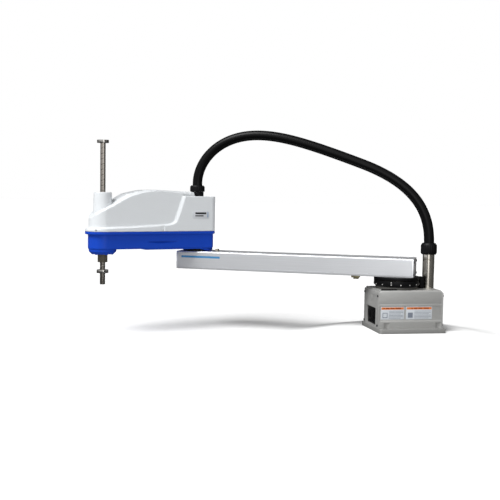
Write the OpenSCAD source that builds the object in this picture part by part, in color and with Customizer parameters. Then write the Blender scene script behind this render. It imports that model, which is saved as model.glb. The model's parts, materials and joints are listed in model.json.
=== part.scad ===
// Four-axis horizontal arm robot on a low base, with a long first arm.
// Millimetres. Origin on the first joint's axis at the mounting face.
// +X points forward, +Z up. Arms are drawn at their rest angles.

/* [Base] */
// length of the base housing behind the first joint's axis
base_rear = 154; // [150:1:158]
// length of the base housing in front of the first joint's axis
base_front = 97; // [95:1:102]
// width of the base housing
base_w = 169; // [166:1:172]
// height of the base's end plates above the mounting face
base_h = 150; // [149:0.5:150]
// width of the mounting flange
flange_w = 225; // [222:1:232]
// thickness of the mounting flange
flange_t = 16; // [12:1:18]

/* [First arm] */
// width of the first arm's profile
arm1_w = 124; // [116:1:130]
// height of the first arm's profile
arm1_h = 70; // [69:0.5:70]

/* [Second arm] */
// half-width of the second arm's rim at its rear end
head_hw = 75; // [73:0.5:78]
// rim radius round the tool shaft
nose_r = 66; // [65:0.5:68]
// height of the chimney's top above the mounting face
chimney_top = 500; // [490:1:505]

/* [Tool shaft] */
// outer radius of both stop collars
collar_r = 22; // [18:0.5:24]
// height of the shaft's upper end above the mounting face
shaft_top = 695; // [685:1:697]

/* [Hidden] */
L1 = 800;            // first arm, joint to joint
L2 = 400;            // second arm, joint to joint
A1 = -26;            // rest direction of the first arm
A2 = 21;             // rest direction of the second arm
J2 = [L1 * cos(A1), L1 * sin(A1), 0];
deck = base_h + 6;   // top of the base housing, above its end plates
arm_z = 201.5;       // underside of the first arm
arm_top = arm_z + arm1_h;
arm_t0 = -67;        // rear end of the first arm, along the arm
arm_t1 = 863;        // front end of the first arm
hw = base_w / 2;
bolt = [[63, 95], [-137, 95], [63, -95], [-137, -95]];
pipe_x = -125;
pipe_r = 22;
part_z = 352;        // joint line between casting and cover
floor_z = 281.5;     // underside of the second arm's long pad
shaft_r = 10;
shaft_low = 151;
conduit_r = 19.3;
span = norm([J2[0] - pipe_x, J2[1]]);
e = 0.01;
$fn = 64;

steel = [0.72, 0.72, 0.70];
grey = [0.62, 0.62, 0.60];
black = [0.05, 0.05, 0.06];
silver = [0.74, 0.75, 0.77];
blue = [0.06, 0.16, 0.62];
white = [0.90, 0.91, 0.92];

// ---- helpers ----
// frames of the two arms: x runs along the arm from its joint
module on1() { rotate([0, 0, A1]) children(); }
module on2() { translate(J2) rotate([0, 0, A2]) children(); }
module on3() { on2() translate([L2, 0, 0]) children(); }
module box(x0, x1, y0, y1, z0, z1)
  translate([x0, y0, z0]) cube([x1 - x0, y1 - y0, z1 - z0]);
module rod(r, z0, z1) translate([0, 0, z0]) cylinder(r = r, h = z1 - z0);
module ring(r1, r0, z0, z1)
  difference() { rod(r1, z0, z1); rod(r0, z0 - 1, z1 + 1); }
// prism along x from a list of [y, z] points
module along_x(x0, x1) translate([x0, 0, 0]) rotate([90, 0, 90])
  linear_extrude(x1 - x0) children();
// prism across y from a list of [x, z] points
module across_y(w) translate([0, w / 2, 0]) rotate([90, 0, 0])
  linear_extrude(w) children();
// cap screw: head with a hexagon socket, axis up, head's underside at z = 0
module screw(r, h, shank, len) {
  difference() { rod(r, 0, h); translate([0, 0, h * 0.4]) cylinder(r = r * 0.5, h = h, $fn = 6); }
  rod(shank, -len, e);
}
// closed skin over rings of equal point counts
module loft(rings) {
  n = len(rings[0]); m = len(rings);
  pts = [for (r = rings) for (p = r) p];
  sides = [for (i = [0:m - 2]) for (j = [0:n - 1]) each
    [[i * n + j, (i + 1) * n + j, (i + 1) * n + (j + 1) % n],
     [i * n + j, (i + 1) * n + (j + 1) % n, i * n + (j + 1) % n]]];
  caps = [for (j = [1:n - 2]) each
    [[0, j, j + 1], [(m - 1) * n, (m - 1) * n + j + 1, (m - 1) * n + j]]];
  polyhedron(pts, concat(sides, caps));
}

// ---- base ----
module base_flange() color(grey) difference() {
  box(-base_rear - 1, base_front + 1, -flange_w / 2, flange_w / 2, 0, flange_t);
  for (p = bolt) translate([p[0], p[1], 0]) rod(6.5, -1, flange_t + 1);
  for (s = [-1, 1]) translate([base_front + 1, s * flange_w / 2, -1])
    rotate([0, 0, 45]) cube([11, 11, 60], center = true);
}
// section of the base housing, seen along x
module base_section(z1) {
  w = hw; g = 1.2;
  polygon([[-w, flange_t], [w, flange_t], [w, 42], [w - 1.5, 44], [w - 1.5, 97],
    [w, 99], [w, 107], [w - g, 107], [w - g, 108.4], [w, 108.4],
    for (a = [0:15:90]) [w - 7 + 7 * cos(a), z1 - 7 + 7 * sin(a)],
    for (a = [90:15:180]) [-w + 7 + 7 * cos(a), z1 - 7 + 7 * sin(a)],
    [-w, 108.4], [-w + g, 108.4], [-w + g, 107], [-w, 107],
    [-w, 99], [-w + 1.5, 97], [-w + 1.5, 44], [-w, 42]]);
}
module base_body() color(grey) difference() {
  along_x(-base_rear + 6, base_front - 6) base_section(deck);
  rear_chamfer();
  box(-base_rear - 1, base_front + 1, -hw + 14, hw - 14, flange_t + 6, base_h - 11);
  rod(64, base_h - 12, deck + 1);
  translate([pipe_x, 0, 0]) rod(pipe_r + 0.1, base_h - 12, deck + 1);
  for (p = bolt) translate([p[0], p[1], 0]) rod(15, flange_t - 1, 36);
  box(24, 86, hw - 9, hw - 5.5, deck - 2.5, deck + 1);
}
module plate_holes(xa, xb) for (y = [-hw + 7, hw - 7], z = [26, base_h - 15])
  translate([xa, y, z]) rotate([0, 90, 0]) rod(2.6, -1, xb - xa + 1);
module base_front_plate() color(grey) difference() {
  along_x(base_front - 6, base_front) polygon([[-hw, flange_t], [hw, flange_t],
    [hw, base_h - 3], [hw - 3, base_h], [-hw + 3, base_h], [-hw, base_h - 3]]);
  box(base_front - 9, base_front + 1, -53, 53, 23, 88);
  plate_holes(base_front - 6, base_front);
  translate([base_front - 1, 0, 121]) rotate([0, 90, 0]) ring(14, 13, 0, 3);
}
module rear_chamfer() translate([-base_rear, 0, deck]) rotate([0, 45, 0])
  cube([15, 400, 15], center = true);
module base_rear_plate() color(grey) difference() {
  along_x(-base_rear, -base_rear + 6) polygon([[-hw, flange_t], [hw, flange_t],
    [hw, base_h - 3], [hw - 3, base_h], [-hw + 3, base_h], [-hw, base_h - 3]]);
  rear_chamfer();
  plate_holes(-base_rear, -base_rear + 6);
  translate([-137, 95, 0]) rod(15, flange_t - 1, 36);
  translate([-137, -95, 0]) rod(15, flange_t - 1, 36);
}
module front_plate_screws() color(steel) for (y = [-hw + 7, hw - 7], z = [26, base_h - 15])
  translate([base_front, y, z]) rotate([0, 90, 0]) screw(4.2, 2.6, 2.5, 6);
module rear_plate_screws() color(steel) for (y = [-hw + 7, hw - 7], z = [26, base_h - 15])
  translate([-base_rear, y, z]) rotate([0, -90, 0]) screw(4.2, 2.6, 2.5, 6);
module connector_panel() color(black)
  box(base_front - 9, base_front - 6, -60, 60, flange_t + 6 + e, 92);
module connector_set() color(black) translate([base_front - 6, 0, 0]) {
  for (y = [-30, 8]) { box(0, 3, y - 16, y + 16, 44, 72); box(3 - e, 4, y - 12, y + 12, 48, 68); }
  for (y = [34, 46]) translate([0, y, 58]) rotate([0, 90, 0]) ring(4.6, 2.2, 0, 4);
  for (y = [-36, -18, 0, 18]) translate([0, y, 32]) rotate([0, 90, 0]) rod(3, 0, 2.5);
}
module top_slot_strip() color(black) box(24, 86, hw - 9, hw - 5.5, deck - 2.5, deck + 4.5);
module side_label_front() color([0.86, 0.87, 0.88]) box(-3, 87, hw - 1.5, hw - 0.9, 49, 96);
module side_label_rear() color([0.86, 0.87, 0.88]) box(-111, -10.5, hw - 1.5, hw - 0.9, 49, 96);

// ---- first joint ----
module j1_foot() color(grey) ring(78, 60, deck, 165);
module j1_base_ring() color(black) difference() {
  rotate_extrude($fn = 96) polygon([[60, 165], [78, 165], [84.5, 171], [84.5, 188],
    [72, 188], [72, 168], [60, 168]]);
  ring_places() rod(2.4, -4, 3);
}
// outward axes of the radial screws, and of the plug above one of them
module ring_places() {
  for (a = [9.5:24:350]) rotate([0, 0, a]) translate([84.5, 0, 174.5]) rotate([0, 90, 0]) children();
  rotate([0, 0, 57.5]) translate([84.5, 0, 182.5]) rotate([0, 90, 0]) children();
}
module ring_screws() color(steel) ring_places() rod(2.4, -4, 1);
module j1_bearing_outer() color(steel) ring(72, 58.05, 168, 188);
module j1_bearing_inner() color(steel) ring(58, 44, 170, 190);
module j1_reducer() color(steel) union() {
  ring(60, 30, 140, 150); ring(58, 30, 149, 166); ring(42, 12, 165, 176);
}
module j1_motor() color(black) union() {
  box(-50, 50, -50, 50, 130, 139); box(-40, 40, -40, 40, 48, 130);
  box(-36, 36, -36, 36, 28, 48); rod(9.5, 138, 164); rod(28, 138, 142);
}
module stop_block() color([0.2, 0.2, 0.21]) box(-102.5, -88, -18, 18, deck, 199);
module conduit_pipe() color(steel) translate([pipe_x, 0, 0]) union() {
  ring(pipe_r, pipe_r - 2.5, 112, 292);
  ring(pipe_r + 0.5, pipe_r - 1, 263.5, 265.5);
}
module conduit_coupling() color(black) translate([pipe_x, 0, 0]) difference() {
  union() {
    rod(28, 284, 288); rod(30.4, 288, 320);
    translate([0, 0, 320]) cylinder(r1 = 30.4, r2 = 25, h = 7);
  }
  rod(pipe_r + 0.5, 283, 292);
  rod(20, 291, 330);
}

// ---- first arm ----
module j1_turntable() color(black) on1() union() {
  rod(85, 190, arm_z); rod(43, 180, 190 + e);
}
module profile_section(d) {
  w = arm1_w / 2 - d; z0 = arm_z + d; z1 = arm_top - d; c = 5;
  polygon([[-w + 2, z0], [w - 2, z0], [w, z0 + 2], [w, z1 - c], [w - 1.5, z1 - 1.5],
    [w - c, z1], [-w + c, z1], [-w + 1.5, z1 - 1.5], [-w, z1 - c], [-w, z0 + 2]]);
}
module arm1_profile() color(silver) on1() difference() {
  along_x(arm_t0 + 6, arm_t1 - 6) profile_section(0);
  for (s = [-1, 1]) {
    along_x(arm_t0, arm_t1) translate([s * arm1_w / 4 - s * 1, arm_z + arm1_h / 2])
      square([arm1_w / 2 - 12, arm1_h - 14], center = true);
    box(arm_t0, arm_t1, s * arm1_w / 2 - 0.7, s * arm1_w / 2 + 0.7, arm_z + 9, arm_z + 10.2);
  }
}
module cap_shape(t0, t1) difference() {
  along_x(t0, t1) profile_section(0.4);
  for (y = [-50, 50], z = [arm_z + 12, arm_top - 12]) translate([t0 - 1, y, z])
    rotate([0, 90, 0]) rod(2.6, 0, 8);
}
module arm1_rear_cap() color(silver) on1() cap_shape(arm_t0, arm_t0 + 6);
module arm1_front_cap() color(silver) on1() cap_shape(arm_t1 - 6, arm_t1);
module cap_screws() color(black) on1()
  for (y = [-50, 50], z = [arm_z + 12, arm_top - 12]) {
    translate([arm_t0, y, z]) rotate([0, -90, 0]) screw(4.4, 3, 2.5, 6);
    translate([arm_t1, y, z]) rotate([0, 90, 0]) screw(4.4, 3, 2.5, 6);
  }
module under_bracket() color(steel) on1() union() {
  box(136, 166, 10, 40, 192.5, arm_z); box(140, 158, 14, 36, 187, 192.5 + e);
}
module j2_pedestal() color(black) on1() translate([L1, 0, 0]) union() {
  rod(54, arm_top, 283); rod(30, 283 - e, 297); rod(21, 297 - e, 299);
}
module j2_stop_block() color(steel) on1() box(707, 719, -8, 8, arm_top, 279.5);

// ---- second arm ----
// outline of the second arm in plan, drawn in by d
module plan2(d) hull() {
  translate([L2, 0]) circle(r = nose_r - d);
  for (s = [-1, 1]) translate([-50 + 22, s * (head_hw - 22)]) circle(r = 22 - d * 0.6, $fn = 32);
  for (s = [-1, 1]) translate([-50 + 22 + d * 0.7, s * (head_hw - 22 - d * 0.4)])
    circle(r = 22 - d * 0.6, $fn = 32);
}
module slab(d, z0, z1) translate([0, 0, z0]) linear_extrude(z1 - z0) plan2(d);
posts = [[427, 31], [427, -31], [352, 42], [352, -42]];
module arm2_casting() color(blue) on2() difference() {
  union() {
    slab(0, 341, part_z);
    slab(11, 287, 341 + e);
    intersection() { slab(14, floor_z, 287 + e); box(0, 253, -90, 90, 280, 300); }
    // skirt round the back of the joint; its underside slopes up to the pad in front
    intersection() {
      rod(63, arm_top + 2, 287 + e);
      across_y(200) polygon([[-70, arm_top + 2], [-15, arm_top + 2], [20, floor_z], [20, 288],
        [-70, 288]]);
    }
    translate([L2, 0, 0]) {
      rod(52, 276, 288);
      translate([0, 0, 266]) cylinder(r1 = 41, r2 = 52, h = 10 + e);
      for (a = [30:60:330]) rotate([0, 0, a]) translate([36, 0, 0]) rod(5, 264, 270);
    }
  }
  difference() {
    slab(17, 293, part_z + 1);
    rod(46, 290, 298);
    translate([L2, 0, 0]) rod(33, 290, 300);
    for (p = posts) translate([p[0], p[1], 0]) rod(5, 290, 336);
  }
  rod(56, arm_top, 284);
  rod(37, 283, 299);
  translate([L2, 0, 0]) rod(28, 260, 301);
  // shallow scoops in both sides
  for (s = [-1, 1]) translate([188, s * 759.6, 307]) cylinder(r = 700, h = 8, $fn = 240);
}
// crest and side-edge heights of the hump: [along arm, crest, side edge, crest half-width]
hump = [[30, 504, 490, 32], [48, 506, 494, 34], [72, 507, 497, 35], [100, 508, 500, 36], [150, 510, 505, 38],
  [200, 512, 507, 40], [240, 510.5, 502, 40], [276, 504.5, 492, 38], [314, 495, 478, 36],
  [346, 477.5, 462, 36], [372, 458, 449, 36], [400, 441, 437, 36], [424, 428, 425, 34],
  [444, 412, 408, 30], [462, 392, 388, 24]];
// the hump narrows beside the cable gland
module hump_solid(d) loft([for (h = hump)
  let (w = min(66, 38 + (h[0] - 30) * 0.4) - d, t = h[0] + (h[0] < 40 ? d : 0))
  [[t, w, 300], [t, w, h[2] - d], [t, h[3], h[1] - d], [t, -h[3], h[1] - d],
   [t, -w, h[2] - d], [t, -w, 300]]]);
module box_side(d) across_y(400) polygon([[-70, 300], [-70, 489 - d], [88 - d, 489 - d],
  [105 - d, 435], [122 - d, 389 - d], [132 - d, 382 - d], [190, 376.5 - d], [311, 369.5 - d],
  [426, 365.5 - d], [480, 363 - d], [480, 300]]);
module arm2_cover() color(white) on2() difference() {
  union() {
    intersection() { slab(0.6, part_z, 495); box_side(0); }
    intersection() { slab(13, part_z, 515); hump_solid(0); }
    translate([L2, 0, 400]) cylinder(r1 = 36.5, r2 = 33.5, h = chimney_top - 400);
  }
  intersection() { slab(6, part_z - 1, 495); box_side(4); }
  intersection() { slab(17, part_z - 1, 515); hump_solid(4); }
  translate([L2, 0, 0]) { rod(29, part_z - 1, chimney_top - 4); rod(13, 400, chimney_top + 1); }
  rod(20.3, 480, 495);
  screw_set(3);
}
// cover screws: low on both sides, round the nose and in the rear wall
module cover_screw(proud) { rod(3, -2, proud); rod(1.6, -8, -1.9); }
module screw_set(proud) for (s = [-1, 1]) {
  scale([1, s, 1]) on_side(181, 358) cover_screw(proud);
  translate([L2, 0, 357.5]) rotate([0, 0, s * 47]) translate([nose_r - 0.6, 0, 0])
    rotate([0, 90, 0]) cover_screw(proud);
  translate([-50 + 0.6, s * 40, 362]) rotate([0, -90, 0]) cover_screw(proud);
}
// frame on the cover's side wall, z pointing out of it
side_a = -1.236;
module on_side(t, z) translate([-28, head_hw - 0.35, z]) rotate([0, 0, side_a])
  translate([t + 28, 0, 0]) rotate([-90, 0, 0]) children();
module cover_screws() color(steel) on2() screw_set(0.6);
module j2_bearing_outer() color(steel) on2() ring(37, 30.05, 285, 298);
module j2_reducer() color(steel) on2() union() {
  ring(38.5, 24, 298, 304); ring(36, 24, 304 - e, 326); ring(36, 22, 325, 328);
}
module j2_motor() color(black) on2() union() {
  box(-35, 35, -35, 35, 328, 336); box(-31, 31, -31, 31, 336 - e, 430);
  box(-28, 28, -28, 28, 430 - e, 462); rod(8, 312, 329);
}
module spindle_bearing() color(steel) on3() ring(28, 18.55, 268, 300);
module upper_bearing_plate() color(silver) on2() difference() {
  intersection() { slab(19, 336, 344); box(345, 470, -60, 60, 330, 350); }
  translate([L2, 0, 0]) rod(26, 330, 350);
}
module ball_nut_bearing() color(steel) on3() ring(26, 18.55, 334, 346);
module bracket(t0, t1, z1, y) union() {
  difference() { box(t0, t1, -y, y, z1 - 6, z1); translate([(t0 + t1) / 2, 0, 0]) rod(12, z1 - 9, z1 + 1); }
  for (t = [t0 + 6, t1 - 6], s = [-1, 1]) translate([t, s * (y - 6), 0]) rod(5, 293, z1 - 6 + e);
}
module j3_bracket() color(silver) on2() bracket(262, 338, 384, 48);
module j4_bracket() color(silver) on2() bracket(184, 246, 328, 48);
module j3_motor() color(black) on2() translate([300, 0, 0]) difference() {
  union() { box(-30, 30, -30, 30, 384, 440); box(-27, 27, -27, 27, 440 - e, 466); }
  rod(5.4, 383, 396);
}
module j4_motor() color(black) on2() translate([215, 0, 0]) difference() {
  union() { box(-25, 25, -25, 25, 328, 395); box(-22, 22, -22, 22, 395 - e, 415); }
  rod(5.4, 327, 340);
}
// toothed belt round a driven pulley at the shaft and a motor pulley at t
module belt(t, z0, z1) on2() translate([0, 0, z0]) linear_extrude(z1 - z0) difference() {
  hull() { translate([L2, 0]) circle(r = 30.6); translate([t, 0]) circle(r = 17.6); }
  hull() { translate([L2, 0]) circle(r = 28.6); translate([t, 0]) circle(r = 15.6); }
}
module j3_belt() color(black) belt(300, 355, 366);
module j4_belt() color(black) belt(215, 306, 317);
module pulley(r, b, z0, z1) difference() {
  union() { rod(r, z0, z1); rod(r + 3.5, z0, z0 + 1.5); rod(r + 3.5, z1 - 1.5, z1); }
  rod(b, z0 - 1, z1 + 1);
}
module j3_driven_pulley() color(silver) on3() pulley(28, 18.55, 353, 368);
module j4_driven_pulley() color(silver) on3() pulley(28, 18.55, 304, 319);
module motor_pulley(t, z0, z1, top) on2() translate([t, 0, 0]) union() {
  rod(15, z0, z1); rod(18.5, z0, z0 + 1.5); rod(18.5, z1 - 1.5, z1); rod(5, z0 - 3, top);
}
module j3_motor_pulley() color(silver) motor_pulley(300, 353, 368, 394);
module j4_motor_pulley() color(silver) motor_pulley(215, 304, 319, 338);
module gland_body() color(black) on2() difference() {
  union() { rod(25, 489, 507); rod(20, 476, 490); ring(24, 19, 480, 484.9); }
  rod(15, 470, 510);
}
module gland_nut() color(black) on2() difference() {
  union() { rod(29.3, 507, 527); translate([0, 0, 527]) cylinder(r1 = 29.3, r2 = 25, h = 5); }
  rod(15, 500, 540);
  rod(19.8, 519, 540);
}
module cover_badge() color([0.2, 0.22, 0.26]) on2() on_side(22, 417) difference() {
  box(-36, 36, -15, 15, 0.05, 0.9);
  for (s = [-1, 1], t = [-1, 1]) translate([s * 36, t * 15, 0]) rotate([0, 0, 45])
    cube([8, 8, 9], center = true);
}
module control_board() color([0.05, 0.3, 0.15]) on2() box(112, 114, -48, 48, 356, 460);

// ---- tool spindle ----
module spline_nut() color(steel) on3() union() {
  ring(18.5, 10.05, 235.5, 322); ring(21, 18.4, 301, 303.8);
}
module ball_nut() color(steel) on3() union() {
  ring(18.5, 10.05, 326, 372); ring(21, 18.4, 347, 352.8);
}
module spline_shaft() color(steel) on3() union() {
  rod(shaft_r, shaft_low, 192.5); rod(shaft_r - 0.5, 192, 194.5); rod(shaft_r, 194.5 - e, shaft_top);
}
module collar(z0, z1) difference() {
  ring(collar_r, shaft_r, z0, z1);
  box(shaft_r - 1, collar_r + 1, -0.8, 0.8, z0 - 1, z1 + 1);
  translate([0, 14, (z0 + z1) / 2]) rotate([-90, 0, 0]) rod(2.6, 0, 12);
}
module upper_collar() color(steel) on3() collar(shaft_top - 11, shaft_top);
module lower_collar() color(steel) on3() collar(194.5, 206.5);
module collar_screws() color(black) on3() for (z = [shaft_top - 5.5, 200.5])
  translate([0, 14, z]) rotate([-90, 0, 0]) rod(2.6, 0, collar_r - 14.5);

// ---- conduit ----
// route in the upright plane through the pipe and the second joint: [distance, height]
route = [[[0, 292], [0, 304], [0, 316], [0, 327]], [[0, 327], [0, 453], [65, 553], [265, 625]],
  [[265, 625], [454, 694], [570, 731], [671, 731]], [[671, 731], [834, 731], [span, 624], [span, 541]],
  [[span, 541], [span, 534], [span, 527], [span, 520]]];
function bez(c, s) = pow(1 - s, 3) * c[0] + 3 * s * pow(1 - s, 2) * c[1]
  + 3 * s * s * (1 - s) * c[2] + pow(s, 3) * c[3];
function slope(c, s) = 3 * pow(1 - s, 2) * (c[1] - c[0]) + 6 * s * (1 - s) * (c[2] - c[1])
  + 3 * s * s * (c[3] - c[2]);
dir = [(J2[0] - pipe_x) / span, J2[1] / span];
function hoop(p, q, r) = let (n = [-q[1], q[0]] / norm(q)) [for (a = [0:30:330])
  let (d = p[0] + n[0] * r * cos(a), z = p[1] + n[1] * r * cos(a), s = r * sin(a))
  [pipe_x + dir[0] * d - dir[1] * s, dir[1] * d + dir[0] * s, z]];
steps = [for (i = [0:4]) for (s = [0:(i == 0 || i == 4 ? 1 : 0.1):0.95]) [i, s]];
module cable_conduit() color(black) loft(concat(
  [for (k = steps) hoop(bez(route[k[0]], k[1]), slope(route[k[0]], k[1]), conduit_r)],
  [hoop(bez(route[4], 1), slope(route[4], 1), conduit_r)]));

base_flange();
base_body();
base_front_plate();
base_rear_plate();
front_plate_screws();
rear_plate_screws();
connector_panel();
connector_set();
top_slot_strip();
side_label_front();
side_label_rear();
j1_foot();
j1_base_ring();
ring_screws();
j1_bearing_outer();
j1_reducer();
j1_motor();
stop_block();
conduit_pipe();
conduit_coupling();
j1_turntable();
j1_bearing_inner();
arm1_profile();
arm1_rear_cap();
arm1_front_cap();
cap_screws();
under_bracket();
j2_pedestal();
j2_stop_block();
arm2_casting();
arm2_cover();
cover_screws();
j2_bearing_outer();
j2_reducer();
j2_motor();
spindle_bearing();
upper_bearing_plate();
ball_nut_bearing();
j3_bracket();
j3_motor();
j4_bracket();
j4_motor();
j3_belt();
j4_belt();
gland_body();
gland_nut();
cover_badge();
control_board();
spline_nut();
j4_driven_pulley();
ball_nut();
j3_driven_pulley();
spline_shaft();
upper_collar();
lower_collar();
collar_screws();
j3_motor_pulley();
j4_motor_pulley();
cable_conduit();
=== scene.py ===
import json
import math

import bmesh
import bpy
from mathutils import Matrix, Vector


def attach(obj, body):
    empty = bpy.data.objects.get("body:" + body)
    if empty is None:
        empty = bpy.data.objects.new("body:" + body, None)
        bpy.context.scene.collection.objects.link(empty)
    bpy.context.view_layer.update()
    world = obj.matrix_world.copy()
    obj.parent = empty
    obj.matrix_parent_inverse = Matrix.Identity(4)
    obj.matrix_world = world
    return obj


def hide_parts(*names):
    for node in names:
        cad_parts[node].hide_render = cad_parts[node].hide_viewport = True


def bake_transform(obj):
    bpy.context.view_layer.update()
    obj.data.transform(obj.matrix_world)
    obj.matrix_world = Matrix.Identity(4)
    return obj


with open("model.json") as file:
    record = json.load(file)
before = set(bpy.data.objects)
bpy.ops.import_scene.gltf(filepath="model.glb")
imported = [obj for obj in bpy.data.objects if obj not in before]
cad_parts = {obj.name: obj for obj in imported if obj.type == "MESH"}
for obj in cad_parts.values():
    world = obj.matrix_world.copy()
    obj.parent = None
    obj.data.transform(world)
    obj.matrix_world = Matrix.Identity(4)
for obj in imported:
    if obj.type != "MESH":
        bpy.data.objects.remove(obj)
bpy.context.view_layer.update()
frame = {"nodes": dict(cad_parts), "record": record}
NODES = frame["nodes"]

MM = 0.001

# ---- places: lengths in metres, headings, and the frames of the first arm, second arm and tool ----
ARM1_LENGTH, ARM2_LENGTH = 0.8, 0.4
ARM1_TURN, ARM2_TURN = math.radians(-26), math.radians(21)
J2 = Vector((ARM1_LENGTH * math.cos(ARM1_TURN), ARM1_LENGTH * math.sin(ARM1_TURN), 0))
ON1 = Matrix.Rotation(ARM1_TURN, 4, "Z")
ON2 = Matrix.Translation(J2) @ Matrix.Rotation(ARM2_TURN, 4, "Z")
ON3 = ON2 @ Matrix.Translation((ARM2_LENGTH, 0, 0))
SIDE_TURN = math.radians(-1.236)
MIRROR_Y = Matrix.Diagonal((1, -1, 1, 1))
FLOOR_Z, FLOOR_TOP = -0.036, -0.0002

# ---- sizes in millimetres ----
HEAD_HW, NOSE_R = 75, 66
PIPE_X = -125
SHAFT_R, SHAFT_END, SHAFT_TOP = 10.0, 151, 695
SCREW_LEAD, SCREW_LOW, SCREW_HIGH = 20.0, 206.5, SHAFT_TOP - 12


# ---- camera, floor and light ----
def set_camera():
    """Camera placed where the arm was seen from."""
    place = (1.0910, 3.0099, 0.50616)
    yaw, pitch, roll = -0.17374, 0.06817, 0.01578
    look = Vector((math.sin(yaw) * math.cos(pitch), -math.cos(yaw) * math.cos(pitch),
                   -math.sin(pitch)))
    right = Vector((-math.cos(yaw), -math.sin(yaw), 0))
    up = right.cross(look)
    right, up = (right * math.cos(roll) + up * math.sin(roll),
                 up * math.cos(roll) - right * math.sin(roll))
    data = bpy.data.cameras.new("camera")
    data.sensor_width = 36
    data.lens = 60.45
    cam = bpy.data.objects.new("camera", data)
    back = -look
    rows = [(right[k], up[k], back[k], place[k]) for k in range(3)]
    cam.matrix_world = Matrix(rows + [(0, 0, 0, 1)])
    bpy.context.scene.collection.objects.link(cam)
    bpy.context.scene.camera = cam


def link(obj):
    bpy.context.scene.collection.objects.link(obj)
    return obj


def area_light(name, place, target, size, power):
    """Soft rectangular lamp of size (width, height) that faces its target."""
    data = bpy.data.lights.new(name, "AREA")
    data.shape, data.energy = "RECTANGLE", power
    data.size, data.size_y = size
    obj = link(bpy.data.objects.new(name, data))
    obj.location = place
    obj.rotation_euler = (Vector(target) - Vector(place)).to_track_quat("-Z", "Y").to_euler()
    obj.visible_camera = False
    return obj


def make_floor():
    """Floor with a low rise under the base, because the tool end reaches below the mounting face."""
    centre_x, inner, outer = -0.03, 0.19, 0.46
    sides, steps = 96, 20
    rings = []
    for i in range(steps + 1):
        t = i / steps
        fall = (FLOOR_Z - FLOOR_TOP) * t * t * (3 - 2 * t)
        rings.append((inner + (outer - inner) * t, FLOOR_TOP + fall))
    rings += [(2.0, FLOOR_Z), (40.0, FLOOR_Z)]
    v = []
    for r, z in rings:
        for k in range(sides):
            a = 2 * math.pi * k / sides
            v.append((r * math.cos(a) + centre_x, r * math.sin(a), z))
    f = [face[::-1] for face in tube_faces(len(rings), sides)]
    f.append(tuple(range(sides)))
    floor = mesh_obj("floor", v, f)
    for poly in floor.data.polygons:
        poly.use_smooth = True
    paint(floor, stage_material())


def set_stage():
    """Pale floor and soft light."""
    make_floor()
    set_world()
    sun = bpy.data.lights.new("soft_sun", "SUN")
    sun.energy, sun.angle = 3.4, math.radians(34)
    obj = link(bpy.data.objects.new("soft_sun", sun))
    obj.rotation_euler = Vector((-0.62, -0.34, -0.95)).to_track_quat("-Z", "Y").to_euler()
    area_light("front_box", (0.5, 1.9, 0.72), (0.5, -0.1, 0.6), (0.9, 1.5), 7)


def set_world():
    """White behind the object; its light is strongest from the front left and weakest from behind."""
    world = bpy.data.worlds.new("world")
    world.use_nodes = True
    t = world.node_tree
    back = t.nodes["Background"]
    co = t.nodes.new("ShaderNodeTexCoord")
    along = t.nodes.new("ShaderNodeVectorMath")
    along.operation = "DOT_PRODUCT"
    along.inputs[1].default_value = (0.45, 0.89, 0)
    t.links.new(co.outputs["Generated"], along.inputs[0])
    fall = node_in(t, "ShaderNodeMapRange",
                   **{"From Min": -0.4, "From Max": 1.0, "To Min": 0.10, "To Max": 0.92})
    t.links.new(along.outputs["Value"], fall.inputs["Value"])
    seen = t.nodes.new("ShaderNodeLightPath")
    mix = t.nodes.new("ShaderNodeMix")
    mix.inputs["B"].default_value = 1.0
    t.links.new(seen.outputs["Is Camera Ray"], mix.inputs["Factor"])
    t.links.new(fall.outputs["Result"], mix.inputs["A"])
    t.links.new(mix.outputs["Result"], back.inputs["Strength"])
    back.inputs["Color"].default_value = (1, 1, 1, 1)
    bpy.context.scene.world = world
    bpy.context.scene.view_settings.view_transform = "Standard"


# ---- mesh helpers ----
def mesh_obj(name, verts, faces):
    data = bpy.data.meshes.new(name)
    data.from_pydata([tuple(v) for v in verts], [], faces)
    data.update()
    return link(bpy.data.objects.new(name, data))


def tube_faces(rows, sides):
    """Side faces of a tube made of closed rows of points."""
    return [(i * sides + k, i * sides + (k + 1) % sides, (i + 1) * sides + (k + 1) % sides,
             (i + 1) * sides + k) for i in range(rows - 1) for k in range(sides)]


def end_faces(rows, sides):
    """The two closing faces of such a tube."""
    return [tuple(range(sides))[::-1], tuple(range((rows - 1) * sides, rows * sides))]


def box_mesh(name, xs, ys, zs):
    """Box between two values on each axis, in millimetres."""
    v = [Vector((x, y, z)) * MM for x in xs for y in ys for z in zs]
    return mesh_obj(name, v, [(0, 1, 3, 2), (4, 6, 7, 5), (0, 4, 5, 1), (2, 3, 7, 6), (0, 2, 6, 4),
                              (1, 5, 7, 3)])


def prism(name, ring2d, low, high, place):
    """Solid between two levels; ring2d runs counterclockwise, place maps (u, v, level) to a point."""
    n = len(ring2d)
    v = [place(u, w, low) for u, w in ring2d] + [place(u, w, high) for u, w in ring2d]
    f = [tuple(range(n))[::-1], tuple(range(n, 2 * n))]
    f += [(i, (i + 1) % n, n + (i + 1) % n, n + i) for i in range(n)]
    obj = mesh_obj(name, [p * MM for p in v], f)
    tidy_normals(obj)
    return obj


def up_prism(name, ring2d, z0, z1):
    """Prism that stands on its outline in plan."""
    return prism(name, ring2d, z0, z1, lambda u, w, s: Vector((u, w, s)))


def side_prism(name, ring2d, half):
    """Prism across the arm, from its outline in side view."""
    return prism(name, ring2d, -half, half, lambda u, w, s: Vector((u, s, w)))


def tidy_normals(obj):
    bm = bmesh.new()
    bm.from_mesh(obj.data)
    bmesh.ops.recalc_face_normals(bm, faces=bm.faces)
    bm.to_mesh(obj.data)
    bm.free()


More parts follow.
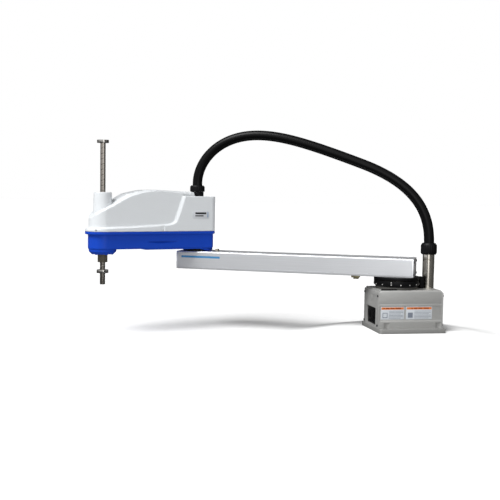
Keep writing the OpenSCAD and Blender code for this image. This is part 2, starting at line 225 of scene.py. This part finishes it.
def lathe(name, profile, sides=96, ripple=None, at=0.0):
    """Closed turned solid from (radius, height) points in millimetres, moved along x by at metres.

    ripple(angle, i) changes the radius of point i.
    """
    v, f = [], []
    m = len(profile)
    for k in range(sides):
        a = 2 * math.pi * k / sides
        for i, (r, z) in enumerate(profile):
            q = r + (ripple(a, i) if ripple else 0)
            v.append(Vector((q * math.cos(a), q * math.sin(a), z)) * MM)
    for k in range(sides):
        a, b = k * m, ((k + 1) % sides) * m
        f += [(a + i, b + i, b + i + 1, a + i + 1) for i in range(m - 1)]
    if profile[0] != profile[-1]:
        f.append(tuple(k * m for k in range(sides))[::-1])
        f.append(tuple(k * m + m - 1 for k in range(sides)))
    obj = mesh_obj(name, v, f)
    obj.data.transform(Matrix.Translation((at, 0, 0)))
    tidy_normals(obj)
    return obj


def apply_mods(obj):
    """Makes the result of the modifiers the object's own mesh."""
    graph = bpy.context.evaluated_depsgraph_get()
    data = bpy.data.meshes.new_from_object(obj.evaluated_get(graph))
    obj.modifiers.clear()
    old, obj.data = obj.data, data
    bpy.data.meshes.remove(old)
    return obj


def boolean(obj, other, kind="DIFFERENCE"):
    """Cuts or intersects obj with other, which is used up."""
    mod = obj.modifiers.new("cut", "BOOLEAN")
    mod.operation, mod.object, mod.solver = kind, other, "EXACT"
    apply_mods(obj)
    bpy.data.objects.remove(other)
    return obj


def join(name, parts):
    bm = bmesh.new()
    for p in parts:
        p.data.transform(p.matrix_world)
        bm.from_mesh(p.data)
        bpy.data.objects.remove(p)
    data = bpy.data.meshes.new(name)
    bm.to_mesh(data)
    bm.free()
    return link(bpy.data.objects.new(name, data))


def melt(name, parts, voxel, rounds):
    """One moulded skin over several overlapping solids, with its edges rounded."""
    obj = join(name, parts)
    mod = obj.modifiers.new("skin", "REMESH")
    mod.mode, mod.voxel_size = "VOXEL", voxel * MM
    soft = obj.modifiers.new("soft", "SMOOTH")
    soft.factor, soft.iterations = 0.5, rounds
    return apply_mods(obj)


def smooth_shade(obj, angle=32):
    obj.data.shade_smooth()
    obj.data.set_sharp_from_angle(angle=math.radians(angle))
    return obj


def bevel_edges(obj, width, segments=2, angle=30):
    """Rounds the sharp edges and joins the flat triangles first."""
    bm = bmesh.new()
    bm.from_mesh(obj.data)
    bmesh.ops.remove_doubles(bm, verts=bm.verts, dist=2e-6)
    bmesh.ops.dissolve_limit(bm, angle_limit=math.radians(0.6), verts=bm.verts, edges=bm.edges)
    sharp = [e for e in bm.edges if len(e.link_faces) == 2
             and e.calc_face_angle(0) > math.radians(angle)]
    bmesh.ops.bevel(bm, geom=sharp, offset=width * MM, offset_type="OFFSET", segments=segments,
                    profile=0.6, affect="EDGES", clamp_overlap=True)
    bm.to_mesh(obj.data)
    bm.free()
    return smooth_shade(obj)


def settle(obj, body, material, nodes=(), matrix=None):
    """Puts a finished piece on its body and gives it its material."""
    if matrix is not None:
        obj.data.transform(matrix)
    paint(obj, material)
    if nodes:
        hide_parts(*nodes)
    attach(obj, body)
    return obj


def paint(obj, material):
    obj.data.materials.clear()
    obj.data.materials.append(material)


def softened(node, width, body, material):
    """A CAD node's shape again, with rounded edges."""
    obj = link(bpy.data.objects.new(node + "_detail", NODES[node].data.copy()))
    bevel_edges(obj, width)
    return settle(obj, body, material, [node])


# ---- materials ----
def node_in(t, kind, **values):
    """New shader node with its inputs set by name."""
    n = t.nodes.new(kind)
    for name, value in values.items():
        n.inputs[name].default_value = value
    return n


def base_material(name, color, metallic, rough, grain, bump, coat=0.0, stretch=(1, 1, 1), turn=0.0,
                  spread=0.06, gloss=0.5, streak=0.0):
    """Principled surface with uneven gloss and a fine grain in object space."""
    m = bpy.data.materials.new(name)
    m.use_nodes = True
    t = m.node_tree
    p = t.nodes["Principled BSDF"]
    p.inputs["Metallic"].default_value = metallic
    p.inputs["Coat Weight"].default_value = coat
    p.inputs["Coat Roughness"].default_value = 0.1
    p.inputs["Specular IOR Level"].default_value = gloss
    co = t.nodes.new("ShaderNodeTexCoord")
    mp = t.nodes.new("ShaderNodeMapping")
    mp.vector_type = "TEXTURE"
    mp.inputs["Rotation"].default_value = (0, 0, turn)
    mp.inputs["Scale"].default_value = [1 / c for c in stretch]
    t.links.new(co.outputs["Object"], mp.inputs["Vector"])
    fine = node_in(t, "ShaderNodeTexNoise", Scale=grain, Detail=4)
    t.links.new(mp.outputs["Vector"], fine.inputs["Vector"])
    wide = node_in(t, "ShaderNodeTexNoise", Scale=9, Detail=3)
    t.links.new(co.outputs["Object"], wide.inputs["Vector"])
    ramp = t.nodes.new("ShaderNodeMapRange")
    ramp.inputs["To Min"].default_value = rough - spread
    ramp.inputs["To Max"].default_value = rough + spread
    t.links.new(wide.outputs["Fac"], ramp.inputs["Value"])
    t.links.new(ramp.outputs["Result"], p.inputs["Roughness"])
    tint = t.nodes.new("ShaderNodeMix")
    tint.data_type = "RGBA"
    low, high = 0.95 - streak, 1.04 + streak
    tint.inputs["A"].default_value = (*[c * low for c in color], 1)
    tint.inputs["B"].default_value = (*[min(1, c * high) for c in color], 1)
    t.links.new(fine.outputs["Fac"], tint.inputs["Factor"])
    t.links.new(tint.outputs["Result"], p.inputs["Base Color"])
    skin = node_in(t, "ShaderNodeBump", Strength=bump, Distance=0.0003)
    t.links.new(fine.outputs["Fac"], skin.inputs["Height"])
    t.links.new(skin.outputs["Normal"], p.inputs["Normal"])
    return m


def stage_material():
    """Pale matt surface of the floor; reflections show it dark, as in a studio."""
    m = base_material("stage_white", (0.93, 0.93, 0.93), 0, 0.9, 30, 0.0, gloss=0.05)
    t = m.node_tree
    p = t.nodes["Principled BSDF"]
    seen = t.nodes.new("ShaderNodeLightPath")
    pale = p.inputs["Base Color"].links[0].from_socket
    for out, level in (("Is Diffuse Ray", 0.45), ("Is Glossy Ray", 0.07)):
        mix = t.nodes.new("ShaderNodeMix")
        mix.data_type = "RGBA"
        mix.inputs["B"].default_value = (level, level, level, 1)
        t.links.new(seen.outputs[out], mix.inputs["Factor"])
        t.links.new(pale, mix.inputs["A"])
        pale = mix.outputs["Result"]
    t.links.new(pale, p.inputs["Base Color"])
    return m


def flat_material(name, color):
    """Ink or film of one colour."""
    return base_material(name, color, 0, 0.45, 600, 0.05)


def make_materials():
    """Every surface: colour, metallic, roughness, grain scale and grain depth."""
    b = base_material
    black = dict(metallic=0, bump=0.12, gloss=0.14)
    return {
        "base_paint": b("base_paint", (0.375, 0.375, 0.365), 0.28, 0.4, 260, 0.10,
                        stretch=(0.12, 1, 1), streak=0.05),
        # the flange has the base's own grey paint, darkened here as painted shade on its low edge
        "flange_painted_shade": b("flange_painted_shade", (0.27, 0.27, 0.262), 0.28, 0.42, 260, 0.10,
                          stretch=(0.12, 1, 1)),
        # foot ring: its own dark machined grey, darkened further as painted shade from the drum and arm
        # above
        "foot_grey_painted_shade": b("foot_grey_painted_shade", (0.07, 0.068, 0.062), 0.3, 0.5, 500, 0.1),
        "dark_screw": b("dark_screw", (0.05, 0.05, 0.055), 0.9, 0.35, 700, 0.1),
        "black_plastic": b("black_plastic", (0.0025, 0.0025, 0.003), rough=0.45, grain=1200,
                           **black),
        "label": b("label", (0.50, 0.53, 0.56), 0, 0.38, 300, 0.03, gloss=0.3),
        "black_metal": b("black_metal", (0.0025, 0.0025, 0.003), rough=0.42, grain=900, **black),
        "bright_steel": b("bright_steel", (0.70, 0.69, 0.67), 0.75, 0.3, 800, 0.08),
        "collar_steel": b("collar_steel", (0.42, 0.41, 0.39), 1, 0.2, 800, 0.05),
        "bearing_steel": b("bearing_steel", (0.34, 0.31, 0.25), 0.9, 0.25, 900, 0.08,
                           stretch=(1, 1, 8)),
        "motor_black": b("motor_black", (0.03, 0.03, 0.034), 0.2, 0.5, 900, 0.15),
        "pipe_steel": b("pipe_steel", (0.60, 0.57, 0.51), 1, 0.19, 420, 0.10,
                        stretch=(12, 12, 0.4), streak=0.1),
        "anodised": b("anodised", (0.74, 0.755, 0.78), 0.72, 0.38, 240, 0.03, stretch=(0.03, 1, 1),
                      turn=ARM1_TURN, streak=0.02, spread=0.02),
        "brass_plate": b("brass_plate", (0.42, 0.38, 0.24), 0.9, 0.4, 700, 0.1),
        "blue_paint": b("blue_paint", (0.007, 0.055, 0.45), 0, 0.34, 700, 0.03, gloss=0.12),
        "white_cover": b("white_cover", (0.68, 0.705, 0.725), 0, 0.36, 900, 0.04, gloss=0.35),
        "belt_rubber": b("belt_rubber", (0.02, 0.02, 0.02), 0, 0.7, 900, 0.3),
        "badge_grey": b("badge_grey", (0.60, 0.62, 0.65), 0, 0.3, 700, 0.03, gloss=0.3),
        "board": b("board", (0.03, 0.20, 0.10), 0, 0.45, 700, 0.1),
        "shaft_steel": b("shaft_steel", (0.33, 0.305, 0.275), 1, 0.16, 900, 0.04,
                         stretch=(1, 1, 0.3), spread=0.02),
        "conduit_rubber": b("conduit_rubber", (0.002, 0.002, 0.0022), rough=0.36, grain=900,
                            **black),
        "orange": flat_material("label_orange", (0.60, 0.16, 0.03)),
        "rust": flat_material("label_rust", (0.24, 0.045, 0.008)),
        "badge_ink": flat_material("badge_ink", (0.012, 0.012, 0.015)),
        "ink": flat_material("label_ink", (0.16, 0.18, 0.22)),
        "stripe_blue": flat_material("stripe_blue", (0.035, 0.20, 0.42)),
    }


# ---- conduit ----
def bezier(c, s):
    """Point of a cubic curve in the plane of the conduit."""
    weights = ((1 - s) ** 3, 3 * s * (1 - s) ** 2, 3 * s * s * (1 - s), s ** 3)
    return tuple(sum(w * p[k] for w, p in zip(weights, c)) for k in (0, 1))


def conduit_line():
    """Points of the centre line, about 3 mm apart, and the heading of its upright plane.

    The plane runs through the pipe and the second joint, and each curve is in (distance, height).
    """
    span = math.hypot(J2.x / MM - PIPE_X, J2.y / MM)
    route = [((0, 292), (0, 304), (0, 316), (0, 327)), ((0, 327), (0, 453), (65, 553), (265, 625)),
             ((265, 625), (454, 694), (570, 731), (671, 731)),
             ((671, 731), (834, 731), (span, 624), (span, 541)),
             ((span, 541), (span, 534), (span, 527), (span, 520))]
    dense = [bezier(c, i / 400) for c in route for i in range(400)] + [(span, 520)]
    line, gone = [dense[0]], 0.0
    for a, b in zip(dense, dense[1:]):
        gone += math.dist(a, b)
        if gone >= 3.0:
            line.append(b)
            gone = 0.0
    if math.dist(line[-1], dense[-1]) > 0.5:
        line.append(dense[-1])
    far = Vector((J2.x / MM - PIPE_X, J2.y / MM)) / span
    return [Vector((PIPE_X + far.x * d, far.y * d, z)) * MM for d, z in line], far


def make_conduit(mats):
    """Hose with a fine spiral rib, bent between the base and the first arm."""
    line, far = conduit_line()
    sides, radius, pitch, depth = 40, 19.3 * MM, 9.0 * MM, 0.35 * MM
    across = Vector((-far.y, far.x, 0))
    v, run = [], 0.0
    for i, p in enumerate(line):
        a, b = line[max(0, i - 1)], line[min(len(line) - 1, i + 1)]
        way = (b - a).normalized()
        out = across.cross(way).normalized()
        if i:
            run += (p - line[i - 1]).length
        for k in range(sides):
            t = 2 * math.pi * k / sides
            turn = run / pitch * 2 * math.pi + t
            r = radius - depth * (0.5 + 0.5 * math.cos(turn))
            v.append(p + out * (r * math.cos(t)) + across * (r * math.sin(t)))
    obj = mesh_obj("conduit", v, tube_faces(len(line), sides) + end_faces(len(line), sides))
    tidy_normals(obj)
    smooth_shade(obj, 50)
    paint(obj, mats["conduit_rubber"])
    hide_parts("cable_conduit")
    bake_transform(obj)


# ---- base ----
def make_base(mats):
    """Housing, its plates, connectors, screws and the two side labels."""
    # flange in the base grey darkened as painted shade
    softened("base_flange", 1.2, "base", mats["flange_painted_shade"])
    for node, width in (("base_body", 0.9), ("base_front_plate", 0.7), ("base_rear_plate", 0.7)):
        softened(node, width, "base", mats["base_paint"])
    softened("connector_panel", 0.4, "base", mats["black_plastic"])
    softened("connector_set", 0.4, "base", mats["black_plastic"])
    softened("top_slot_strip", 0.3, "base", mats["black_plastic"])
    softened("stop_block", 1.2, "base", mats["black_metal"])
    for node in ("front_plate_screws", "rear_plate_screws"):
        softened(node, 0.4, "base", mats["dark_screw"])
    make_label("side_label_front", -3, 87, mats, filled=False)
    make_label("side_label_rear", -111, -10.5, mats, filled=True)


def sheet_piece(x0, x1, z0, z1, y0, y1, name="bit"):
    """Thin layer of print on the base's side."""
    return box_mesh(name, (x0, x1), (y0, y1), (z0, z1))


def make_label(node, x0, x1, mats, filled):
    """Plain printed film: pale field, orange head strip with dashes, bars and a square.

    The square is solid on the filled one and a frame on the other.
    """
    softened(node, 0.15, "base", mats["label"])
    face, ink = 83.6, 0.04
    head = sheet_piece(x0 + 2, x1 - 2, 85.5, 94, face, face + ink, node + "_head")
    settle(head, "base", mats["orange"])
    dashes = [sheet_piece(x0 + a, x0 + b, 87.6, 91.9, face + ink / 2, face + 2 * ink)
              for a, b in ((12, 33), (38, 53), (57, 70), (75, 80))]
    settle(join(node + "_dashes", dashes), "base", mats["rust"])
    bars = []
    for i in range(6):
        z = 79 - i * 5.2
        short = 9 if i in (2, 5) else 0
        bars.append(sheet_piece(x0 + 4 + short, x1 - 32, z, z + 1.5, face, face + ink))
    left = x1 - 26
    bars.append(sheet_piece(left, left + 19, 55, 74, face, face + ink))
    settle(join(node + "_bars", bars), "base", mats["ink"])
    if not filled:
        field = sheet_piece(left + 2.5, left + 16.5, 57.5, 71.5, face + ink / 2, face + 2 * ink,
                            node + "_square_field")
        settle(field, "base", mats["label"])


def make_joint1(mats):
    """Foot, fixed ring with its screws and turning plate of the first joint."""
    # foot in dark machined grey with painted shade from the drum and arm
    softened("j1_foot", 0.8, "base", mats["foot_grey_painted_shade"])
    softened("j1_base_ring", 0.8, "base", mats["black_metal"])
    softened("ring_screws", 0.4, "base", mats["bright_steel"])
    softened("j1_turntable", 1.0, "arm1", mats["black_metal"])


def make_pipe(mats):
    """Thin-walled pipe with a small bead between two grooves."""
    r = 22
    profile = [(r - 2.5, 112), (r, 112), (r, 149), (r + 0.02, 262.8), (r - 0.5, 263.4), (r + 0.45, 264),
               (r + 0.45, 265), (r - 0.5, 265.6), (r, 266.2), (r, 291), (r - 0.8, 292), (r - 2.5, 292),
               (r - 2.5, 112)]
    obj = lathe("pipe", profile, 96)
    smooth_shade(obj, 30)
    settle(obj, "base", mats["pipe_steel"], ["conduit_pipe"],
           Matrix.Translation((PIPE_X * MM, 0, 0)))


def grip(count, depth):
    """Flat-bottomed ribs round a nut."""
    def ripple(a, i):
        s = math.cos(a * count)
        return -depth * (0.5 - 0.5 * max(-1, min(1, 3 * s)))
    return ripple


def make_coupling(mats):
    """Ribbed nut that holds the conduit on the pipe."""
    nut = grip(24, 0.9)
    profile = [(22.5, 284), (28, 284), (28, 287.6), (29.2, 288), (30.3, 289.5), (30.3, 303),
               (30.3, 318.5), (29.0, 320.5), (27.2, 323), (25.5, 326), (24.6, 327), (20.0, 327),
               (20.0, 292), (22.5, 291.5), (22.5, 284)]
    obj = lathe("coupling", profile, 192, lambda a, i: nut(a, i) if 4 <= i <= 6 else 0)
    smooth_shade(obj, 32)
    settle(obj, "base", mats["black_plastic"], ["conduit_coupling"],
           Matrix.Translation((PIPE_X * MM, 0, 0)))


def make_gland(mats):
    """Gland on the second joint's axis and its ribbed nut."""
    nut = grip(24, 0.9)
    body = [(15, 476), (20, 476), (20, 489), (24.2, 489.1), (24.9, 490), (24.9, 498), (24.9, 505.5),
            (24.2, 506.9), (15, 506.9), (15, 476)]
    obj = lathe("gland_lower", body, 96)
    smooth_shade(obj, 32)
    settle(obj, "arm2", mats["black_plastic"], ["gland_body"], ON2)
    top = [(15, 507), (27.8, 507), (29.2, 508.4), (29.2, 516), (29.2, 526), (27.8, 528.2), (25.6, 530.6),
           (24.6, 531.9), (19.8, 531.9), (19.8, 519.2), (15, 519.2), (15, 507)]
    obj = lathe("gland_top", top, 192, lambda a, i: nut(a, i) if 2 <= i <= 4 else 0)
    smooth_shade(obj, 32)
    settle(obj, "arm2", mats["black_plastic"], ["gland_nut"], ON2)


# ---- first arm ----
def arc(cx, cy, r, a0, a1, n):
    """Points along an arc, with its angles in degrees."""
    return [(cx + r * math.cos(math.radians(a0 + (a1 - a0) * i / n)),
             cy + r * math.sin(math.radians(a0 + (a1 - a0) * i / n))) for i in range(n + 1)]


def arm_section():
    """Outline of the extrusion across the arm: (side, height) points, counterclockwise."""
    w, z0, z1 = 62, 201.5, 271.5
    right = [(w - 1.2, z0)] + arc(w - 1.2, z0 + 1.2, 1.2, -90, 0, 3)
    right += [(w, z0 + 8.7), (w - 0.6, z0 + 9.1), (w - 0.6, z0 + 10.1), (w, z0 + 10.5), (w, z0 + 55)]
    right += [(w, z1 - 5.4)] + arc(w - 4.8, z1 - 4.8, 4.8, 6, 84, 7)
    right += [(w - 9, z1), (w - 9.4, z1 - 0.5), (w - 10.4, z1 - 0.5), (w - 10.8, z1)]
    return right + [(-u, z) for u, z in reversed(right)]


def make_arm1(mats):
    """Extruded beam, its caps and screws, and the parts fixed to it."""
    ring2d = arm_section()
    spans, rear, length = 12, -61, 918
    stations = [rear + length * i / spans for i in range(spans + 1)]
    v = [Vector((t, u, z)) * MM for t in stations for u, z in ring2d]
    f = end_faces(spans + 1, len(ring2d)) + tube_faces(spans + 1, len(ring2d))
    obj = mesh_obj("arm1_beam", v, f)
    tidy_normals(obj)
    smooth_shade(obj, 20)
    settle(obj, "arm1", mats["anodised"], ["arm1_profile"], ON1)
    for node in ("arm1_rear_cap", "arm1_front_cap"):
        softened(node, 0.8, "arm1", mats["anodised"])
    softened("cap_screws", 0.5, "arm1", mats["dark_screw"])
    softened("under_bracket", 0.6, "arm1", mats["brass_plate"])
    softened("j2_stop_block", 0.8, "arm1", mats["bearing_steel"])
    softened("j2_pedestal", 0.8, "arm1", mats["black_metal"])
    stripe = box_mesh("arm1_stripe", (682, 842), (61.6, 62.06), (246, 254))
    settle(stripe, "arm1", mats["stripe_blue"], matrix=ON1)


# ---- second arm ----
def hull2d(points):
    """Convex outline of points, counterclockwise."""
    pts = sorted(set((round(x, 5), round(y, 5)) for x, y in points))

    def half(seq):
        out = []
        for p in seq:
            while len(out) > 1 and ((out[-1][0] - out[-2][0]) * (p[1] - out[-2][1])
                                    - (out[-1][1] - out[-2][1]) * (p[0] - out[-2][0])) <= 0:
                out.pop()
            out.append(p)
        return out[:-1]
    return half(pts) + half(pts[::-1])


def plan(d):
    """Outline of the second arm in plan, drawn in by d."""
    pts = arc(400, 0, NOSE_R - d, -180, 180, 96)
    for s in (-1, 1):
        pts += arc(-28, s * (HEAD_HW - 22), 22 - d * 0.6, -180, 180, 48)
        pts += arc(-28 + d * 0.7, s * (HEAD_HW - 22 - d * 0.4), 22 - d * 0.6, -180, 180, 48)
    return hull2d(pts)


def slab(d, z0, z1):
    """Level layer of the second arm, drawn in by d."""
    return up_prism("slab", plan(d), z0, z1)


# hump of the cover: (along the arm, crest height, side-edge height, crest half-width)
HUMP = [(30, 504, 490, 32), (48, 506, 494, 34), (72, 507, 497, 35), (100, 508, 500, 36),
        (150, 510, 505, 38), (200, 512, 507, 40), (240, 510.5, 502, 40), (276, 504.5, 492, 38),
        (314, 495, 478, 36), (346, 477.5, 462, 36), (372, 458, 449, 36), (400, 441, 437, 36),
        (424, 428, 425, 34), (444, 412, 408, 30), (462, 392, 388, 24)]


def hump_solid(inset, low=353):
    """Six-sided solid along the hump, drawn in by inset."""
    v = []
    for t, crest, edge, half in HUMP:
        w = min(66, 38 + (t - 30) * 0.4) - inset
        at = t + (inset if t == HUMP[0][0] else 0)
        v += [(at, w, low), (at, w, edge - inset), (at, half, crest - inset), (at, -half, crest - inset),
              (at, -w, edge - inset), (at, -w, low)]
    f = tube_faces(len(HUMP), 6) + end_faces(len(HUMP), 6)
    obj = mesh_obj("hump", [Vector(p) * MM for p in v], f)
    tidy_normals(obj)
    return obj


def wall_profile(k, low, drop=0.0):
    """Side view of the cover's outer wall.

    k is how far in from the wall, which slopes its edges, and drop draws them in for the inside.
    """
    rise, lean = 0.42 * k - drop, 0.9 * k - drop
    ledge = [(480, 361), (426, 363.2), (311, 367.4), (190, 373.6), (150, 376.4)]
    return [(-70, low), (480, low)] + [(t, z + rise) for t, z in ledge] + [
        (134 + 0.8 * k - drop, 380.5 + rise), (122.5 + lean, 389 + 0.2 * k), (105 + lean, 435),
        (88 + lean, 488.6 - drop), (-70, 488.6 - drop)]


def cover_parts():
    """Stepped layers of the side wall, the hump and the chimney round the shaft."""
    parts = []
    for i in range(9):
        k = 1.5 * i
        body = slab(0.7 + k, 352.4, 488.6)
        parts.append(boolean(body, side_prism("side", wall_profile(k, 352.4), 200), "INTERSECT"))
    body = slab(13, 352.4, 511.6)
    parts.append(boolean(body, hump_solid(0.3), "INTERSECT"))
    stack = [(0.0, 392), (40.5, 392), (38.2, 402), (36.9, 414), (33.4, 499.4), (0.0, 499.4)]
    parts.append(lathe("chimney", stack, 96, at=ARM2_LENGTH))
    return parts


def hollow(obj):
    """Takes the inside out of the cover, 4 to 5 mm in from its skin."""
    wall = side_prism("side", wall_profile(0, 350, drop=4.5), 200)
    boolean(obj, boolean(slab(5.5, 350, 484), wall, "INTERSECT"))
    boolean(obj, boolean(slab(17.5, 350, 515), hump_solid(4.5, 349), "INTERSECT"))
    boolean(obj, lathe("flue", [(0.0, 349), (29, 349), (29, 495.5), (0.0, 495.5)], 96, at=ARM2_LENGTH))


def side_frame(t, z):
    """Frame on the cover's side wall, z pointing out of it."""
    return Matrix.Translation((-28 * MM, (HEAD_HW - 0.35) * MM, z * MM)) \
        @ Matrix.Rotation(SIDE_TURN, 4, "Z") @ Matrix.Translation(((t + 28) * MM, 0, 0)) \
        @ Matrix.Rotation(math.radians(-90), 4, "X")


def screw_frames():
    """Where the cover's screws go, and whether a screw sits in a pocket.

    They are in both sides, round the nose and in the rear wall.
    """
    out = Matrix.Rotation(math.radians(90), 4, "Y")
    frames = []
    for s in (1, -1):
        side = side_frame(181, 358)
        frames.append((side if s > 0 else MIRROR_Y @ side, True))
        nose = Matrix.Translation((ARM2_LENGTH, 0, 0.3575)) @ Matrix.Rotation(math.radians(47 * s), 4, "Z")
        frames.append((nose @ Matrix.Translation(((NOSE_R - 0.6) * MM, 0, 0)) @ out, False))
        rear = Matrix.Translation((-0.0494, 0.04 * s, 0.362)) @ Matrix.Rotation(math.pi, 4, "Z")
        frames.append((rear @ out, False))
    return frames


def make_cover(mats):
    """Moulded shell with its bores and screw pockets, its screws, shaft seal and badge."""
    obj = melt("cover", cover_parts(), 1.5, 5)
    hollow(obj)
    boolean(obj, lathe("bore", [(0.0, 480), (13, 480), (13, 505), (0.0, 505)], 64, at=ARM2_LENGTH))
    boolean(obj, lathe("hole", [(0.0, 476), (20.4, 476), (20.4, 495), (0.0, 495)], 64))
    for s in (1, -1):
        pocket = box_mesh("pocket", (-8.5, 8.5), (-24, 2.6), (-2.8, 4))
        place = side_frame(183, 356)
        pocket.data.transform(place if s > 0 else MIRROR_Y @ place)
        tidy_normals(pocket)
        bevel_edges(pocket, 1.2, 3)
        boolean(obj, pocket)
    heads = []
    for place, in_pocket in screw_frames():
        if not in_pocket:
            seat = lathe("seat", [(0.0, -2.2), (3.9, -2.2), (3.9, 3), (0.0, 3)], 32)
            seat.data.transform(place)
            tidy_normals(seat)
            boolean(obj, seat)
        heads.append(socket_screw(3.2, 2.2, -4.0 if in_pocket else -1.8, place))
    smooth_shade(obj, 38)
    settle(obj, "arm2", mats["white_cover"], ["arm2_cover"], ON2)
    screws = join("cover_screw_heads", heads)
    tidy_normals(screws)
    settle(smooth_shade(screws), "arm2", mats["bright_steel"], ["cover_screws"], ON2)
    ring = [(10.4, 497.0), (13, 497.0), (13, 498.6), (12.4, 499.2), (10.9, 499.2), (10.4, 498.4),
            (10.4, 497.0)]
    settle(smooth_shade(lathe("chimney_seal", ring, 64)), "arm2",
           mats["black_plastic"], matrix=ON3)
    make_badge(mats)


def socket_screw(radius, height, low, place):
    """Round screw head with a hexagon socket; its underside is at low along the frame's z."""
    top = low + height
    head = lathe("head", [(0.0, low - 4), (1.5, low - 4), (1.5, low), (radius, low),
                          (radius, top - 0.5), (radius - 0.5, top), (0.0, top)], 28)
    deep = top - height * 0.6
    key = lathe("key", [(0.0, deep), (radius * 0.5, deep), (radius * 0.5, top + 1), (0.0, top + 1)], 6)
    boolean(head, key)
    head.data.transform(place)
    return head


def make_badge(mats):
    """Pale blank plate with two dark bars and one thin blue line."""
    softened("cover_badge", 0.2, "arm2", mats["badge_grey"])
    thick = [box_mesh("bar", (x0, x1), (y0, y1), (0.86, 0.94))
             for x0, x1, y0, y1 in ((-24, 24, -9, -1.5), (-12, 24, 2.5, 7))]
    place = ON2 @ side_frame(22, 417)
    settle(join("badge_bars", thick), "arm2", mats["badge_ink"], matrix=place)
    line = box_mesh("badge_line", (-32, -29.5), (-10, 10), (0.86, 0.94))
    settle(line, "arm2", mats["stripe_blue"], matrix=place)


def casting_parts():
    """Rim, body, pad, screwed spindle boss and sloped skirt of the casting."""
    parts = [slab(0.2, 343, 351.6), slab(1.2, 341.2, 343.5), slab(11, 288, 345),
             slab(13, 285.5, 300)]
    pad = slab(13.8, 281.8, 300)
    cut = side_prism("cut", [(2, 278), (246, 278), (252, 288), (252, 310), (2, 310)], 200)
    parts.append(boolean(pad, cut, "INTERSECT"))
    boss = [(0.0, 266.3), (40.5, 266.3), (43, 268.5), (51.6, 276.5), (51.6, 300), (0.0, 300)]
    parts.append(lathe("boss", boss, 96, at=ARM2_LENGTH))
    for k in range(6):
        a = math.radians(30 + 60 * k)
        foot = lathe("foot", [(0.0, 264.3), (4.6, 264.3), (5, 270), (0.0, 270)], 24)
        place = (ARM2_LENGTH + 0.036 * math.cos(a), 0.036 * math.sin(a), 0)
        foot.data.transform(Matrix.Translation(place))
        parts.append(foot)
    skirt = lathe("skirt", [(0.0, 273.7), (61.8, 273.7), (62.8, 275), (62.8, 300), (0.0, 300)], 96)
    slope = side_prism("slope", [(-70, 270), (-15.5, 273.7), (19, 281.8), (19, 301), (-70, 301)], 200)
    parts.append(boolean(skirt, slope, "INTERSECT"))
    return parts


def make_casting(mats):
    """Melted casting with a lens-shaped recess in each side, where its wall is thicker inside."""
    obj = melt("casting", casting_parts(), 1.4, 4)
    room = up_prism("room", plan(17), 293, 360)
    for s in (-1, 1):
        rim = [(0.0, 305.5), (302.8, 305.5), (308.6, 311), (308.6, 314.8), (308.2, 315), (0.0, 315)]
        scoop = lathe("scoop", rim, 400)
        scoop.data.transform(Matrix.Translation((0.188, s * 0.3633, 0)))
        boolean(obj, scoop)
        rib = box_mesh("rib", (116, 260), sorted((s * 50, s * 70)), (300, 321))
        boolean(room, rib)
    boolean(obj, room)
    for r, z0, z1, at in ((28, 255, 300, ARM2_LENGTH), (56, 265, 284, 0.0), (37, 280, 299, 0.0)):
        boolean(obj, lathe("bore", [(0.0, z0), (r, z0), (r, z1), (0.0, z1)], 96, at=at))
    smooth_shade(obj, 38)
    settle(obj, "arm2", mats["blue_paint"], ["arm2_casting"], ON2)


# ---- tool spindle ----
def shaft_radius(z, a):
    """Radius in millimetres at height z and angle a, with the chamfers and grooves taken off."""
    if z in (SHAFT_END, SHAFT_TOP):
        return 9.3
    if 192.45 < z < 194.55:
        return 9.5
    if not SCREW_LOW < z < SCREW_HIGH:
        return SHAFT_R
    turn = (z / SCREW_LEAD * 2 * math.pi - a) % (2 * math.pi)
    from_screw = min(turn, 2 * math.pi - turn) * SCREW_LEAD / (2 * math.pi)
    screw = 0.26 * max(0.0, 1 - (from_screw / 1.3) ** 2)
    from_spline = min(abs((a - q + math.pi) % (2 * math.pi) - math.pi)
                      for q in (1.75, 3.844, 5.939)) * SHAFT_R
    spline = 0.7 * max(0.0, 1 - (from_spline / 1.8) ** 4)
    return SHAFT_R - max(screw, spline)


def make_shaft(mats):
    """Screw shaft: one screw groove, three straight spline grooves, plain lower end."""
    sides = 72
    heights = [SHAFT_END, 151.8] + [152.5 + 2.0 * i for i in range(20)]
    heights += [192.4, 192.5, 194.5, 194.6] + list(range(196, SCREW_HIGH))
    heights += [SHAFT_TOP - 11.5, SHAFT_TOP - 0.8, SHAFT_TOP]
    v = []
    for z in heights:
        for k in range(sides):
            a = 2 * math.pi * k / sides
            r = shaft_radius(z, a)
            v.append(Vector((r * math.cos(a), r * math.sin(a), z)) * MM)
    rows = len(heights)
    obj = mesh_obj("screw_shaft", v, tube_faces(rows, sides) + end_faces(rows, sides))
    tidy_normals(obj)
    smooth_shade(obj, 35)
    settle(obj, "shaft", mats["shaft_steel"], ["spline_shaft"], ON3)


def make_spindle(mats):
    """Shaft, its two collars, and the nut and bearing at the casting's foot."""
    make_shaft(mats)
    softened("upper_collar", 0.8, "shaft", mats["collar_steel"])
    softened("lower_collar", 0.8, "shaft", mats["collar_steel"])
    softened("collar_screws", 0.3, "shaft", mats["dark_screw"])
    softened("spline_nut", 0.8, "nut4", mats["bearing_steel"])
    softened("spindle_bearing", 0.5, "arm2", mats["bearing_steel"])


# ---- everything else keeps its CAD shape ----
def paint_rest(mats):
    """Gives every carried-over CAD part the material of its slot."""
    slots = {s["node"]: s["material_slot"] for s in frame["record"]["subparts"]}
    for node, obj in NODES.items():
        if not obj.hide_render:
            paint(obj, mats[slots[node]])


def build():
    set_camera()
    mats = make_materials()
    set_stage()
    make_conduit(mats)
    make_base(mats)
    make_joint1(mats)
    make_pipe(mats)
    make_coupling(mats)
    make_gland(mats)
    make_arm1(mats)
    make_cover(mats)
    make_casting(mats)
    make_spindle(mats)
    paint_rest(mats)


build()
